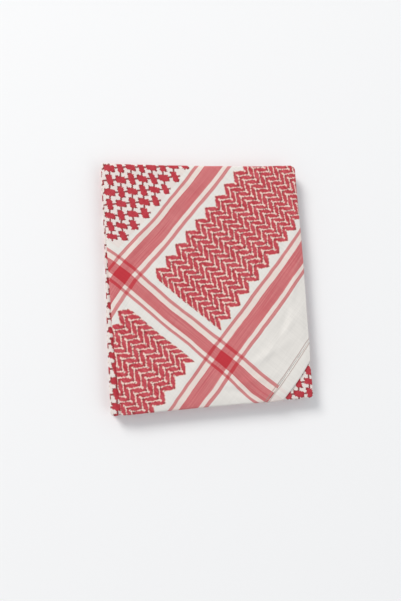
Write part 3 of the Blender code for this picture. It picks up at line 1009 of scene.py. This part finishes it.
def hem_dip(distance):
    """How far the hem's top is pressed or sewn down, at a distance from its outer edge."""
    for (low, low_dip), (high, high_dip) in zip(HEM_DIPS, HEM_DIPS[1:]):
        if low <= distance <= high:
            share = (distance - low) / (high - low)
            return low_dip + (high_dip - low_dip) * share * share * (3 - 2 * share)
    return HEM_DIPS[0][1]


hem_cotton = woven_cotton("hem_cotton", figure=HEM_FIGURE)
hem_mesh = turned_layer(
    face_stations, EDGE_HEIGHT + HEM_RISE, [-HEM_RISE] * len(face_stations),
    [turn + HEM_RISE for turn in face_turned], on_cloth, BEND,
)
hem_edge = HEM_DISTANCE + HEM_PROUD
cut(hem_mesh, HEM_OUT * hem_edge, HEM_OUT)
cut(hem_mesh, HEM_OUT * (HEM_DISTANCE - HEM_WIDTH), -HEM_OUT)
for distance, _ in HEM_DIPS[1:-1]:
    cut(hem_mesh, HEM_OUT * (hem_edge - distance), HEM_OUT, drop=False)
for vertex in hem_mesh.verts:
    distance = hem_edge - vertex.co.dot(HEM_OUT)
    sideways = vertex.co.dot(OTHER_IN)
    wave = HEM_WAVE * math.sin(sideways / HEM_WAVE_LENGTH + 0.7) + HEM_WAVE_IN
    vertex.co.z -= hem_dip(max(0.0, distance))
    vertex.co -= HEM_OUT * wave * max(0.0, 1 - distance / HEM_WIDTH)
hem_cloth = finish_cloth("hem_cloth", hem_mesh, hem_cotton, 2 * PLY)
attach(hem_cloth, "root")
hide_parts("hem")

# ----------------------------------------
# The hem's stitches: one row of white cotton thread near the hem's inner edge, run by machine, so
# its small stitches are even and pull the hem down a little.
# ----------------------------------------
STITCH_LENGTH = 2.6 * MM
STITCH_GAP = 0.6 * MM
THREAD = 0.5 * MM
STITCH_ROW = (-60 * MM, 12.0 * MM)   # where the row starts and ends, along the hem

thread_white = bpy.data.materials.new("thread_white")
thread_white.use_nodes = True
tree = thread_white.node_tree
shader = tree.nodes["Principled BSDF"]
shader.inputs["Roughness"].default_value = 0.7
shader.inputs["Sheen Weight"].default_value = 0.1
coordinates = tree.nodes.new("ShaderNodeTexCoord")
twist = tree.nodes.new("ShaderNodeTexWave")
twist.inputs["Scale"].default_value = 900.0
twist.inputs["Distortion"].default_value = 1.0
tree.links.new(coordinates.outputs["Object"], twist.inputs["Vector"])
thread_colour = mixed(tree, Field(tree, twist.outputs["Fac"]), srgb(214, 206, 198), srgb(232, 228, 222))
tree.links.new(thread_colour, shader.inputs["Base Color"])

along_hem = Vector((-HEM_OUT.y, HEM_OUT.x, 0))
stitch_distance = HEM_DISTANCE - HEM_WIDTH + STITCH_LINE
stitch_mesh = bmesh.new()
run = STITCH_ROW[0]
while run < STITCH_ROW[1]:
    spot = HEM_OUT * stitch_distance + along_hem * (run + STITCH_LENGTH / 2)
    middle = settled(Vector((spot.x, spot.y, EDGE_HEIGHT + HEM_RISE)))
    middle.z -= hem_dip(hem_edge - stitch_distance)
    placed = (
        Matrix.Translation(middle)
        @ Matrix.Rotation(math.atan2(along_hem.y, along_hem.x), 4, "Z")
        @ Matrix.Diagonal((STITCH_LENGTH, THREAD, THREAD, 1.0))
    )
    bmesh.ops.create_uvsphere(stitch_mesh, u_segments=10, v_segments=8, radius=0.5, matrix=placed)
    run += STITCH_LENGTH + STITCH_GAP
for face in stitch_mesh.faces:
    face.smooth = True
hem_stitches = made_piece("hem_stitches", stitch_mesh, thread_white)
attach(hem_stitches, "root")
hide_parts("hem")

# ----------------------------------------
# The studio: a plain pale floor, one broad soft light from the back left and a weak fill.
# ----------------------------------------
FLOOR_SIZE = 3.0
FLOOR_GAP = 0.2 * MM           # how far it lies under the packet

paper = bpy.data.materials.new("floor_paper")
paper.use_nodes = True
shader = paper.node_tree.nodes["Principled BSDF"]
shader.inputs["Base Color"].default_value = srgb(244, 244, 244)
shader.inputs["Roughness"].default_value = 0.9
floor_mesh = bmesh.new()
bmesh.ops.create_grid(
    floor_mesh, x_segments=2, y_segments=2, size=FLOOR_SIZE,
    matrix=Matrix.Translation((0, 0, -FLOOR_GAP)),
)
floor = made_piece("floor", floor_mesh, paper)


def soft_light(name, place, size, power, warmth):
    """A square soft light that faces the packet."""
    lamp = bpy.data.lights.new(name, "AREA")
    lamp.size = size
    lamp.energy = power
    lamp.color = warmth
    light = bpy.data.objects.new(name, lamp)
    light.location = place
    light.rotation_euler = (-Vector(place)).to_track_quat("-Z", "Y").to_euler()
    bpy.context.collection.objects.link(light)


soft_light("key_light", place=(-3.4, 4.2, 4.0), size=2.4, power=312, warmth=(1.0, 0.985, 0.965))
soft_light("fill_light", place=(3.6, -2.8, 5.2), size=4.4, power=64, warmth=(0.97, 0.985, 1.0))
world = bpy.data.worlds.new("studio")
world.use_nodes = True
world.node_tree.nodes["Background"].inputs["Color"].default_value = (0.95, 0.97, 1.0, 1.0)
world.node_tree.nodes["Background"].inputs["Strength"].default_value = 0.55
bpy.context.scene.world = world
bpy.context.scene.view_settings.view_transform = "Standard"

# ----------------------------------------
# The camera: above the packet's front left, looking down at about 80 degrees.
# ----------------------------------------
CAMERA_PLACE = Vector((-115.1 * MM, -83.4 * MM, 724.3 * MM))
CAMERA_BACK = Vector((-0.14925, -0.09109, 0.98459))
CAMERA_RIGHT = Vector((0.98809, -0.05152, 0.14502))
LENS = 37.78

lens = bpy.data.cameras.new("camera")
lens.lens = LENS
lens.sensor_width = 36
camera = bpy.data.objects.new("camera", lens)
back = CAMERA_BACK.normalized()
right = (CAMERA_RIGHT - back * CAMERA_RIGHT.dot(back)).normalized()
turn = Matrix((right, back.cross(right), back)).transposed()
camera.matrix_world = Matrix.Translation(CAMERA_PLACE) @ turn.to_4x4()
bpy.context.collection.objects.link(camera)
bpy.context.scene.camera = camera
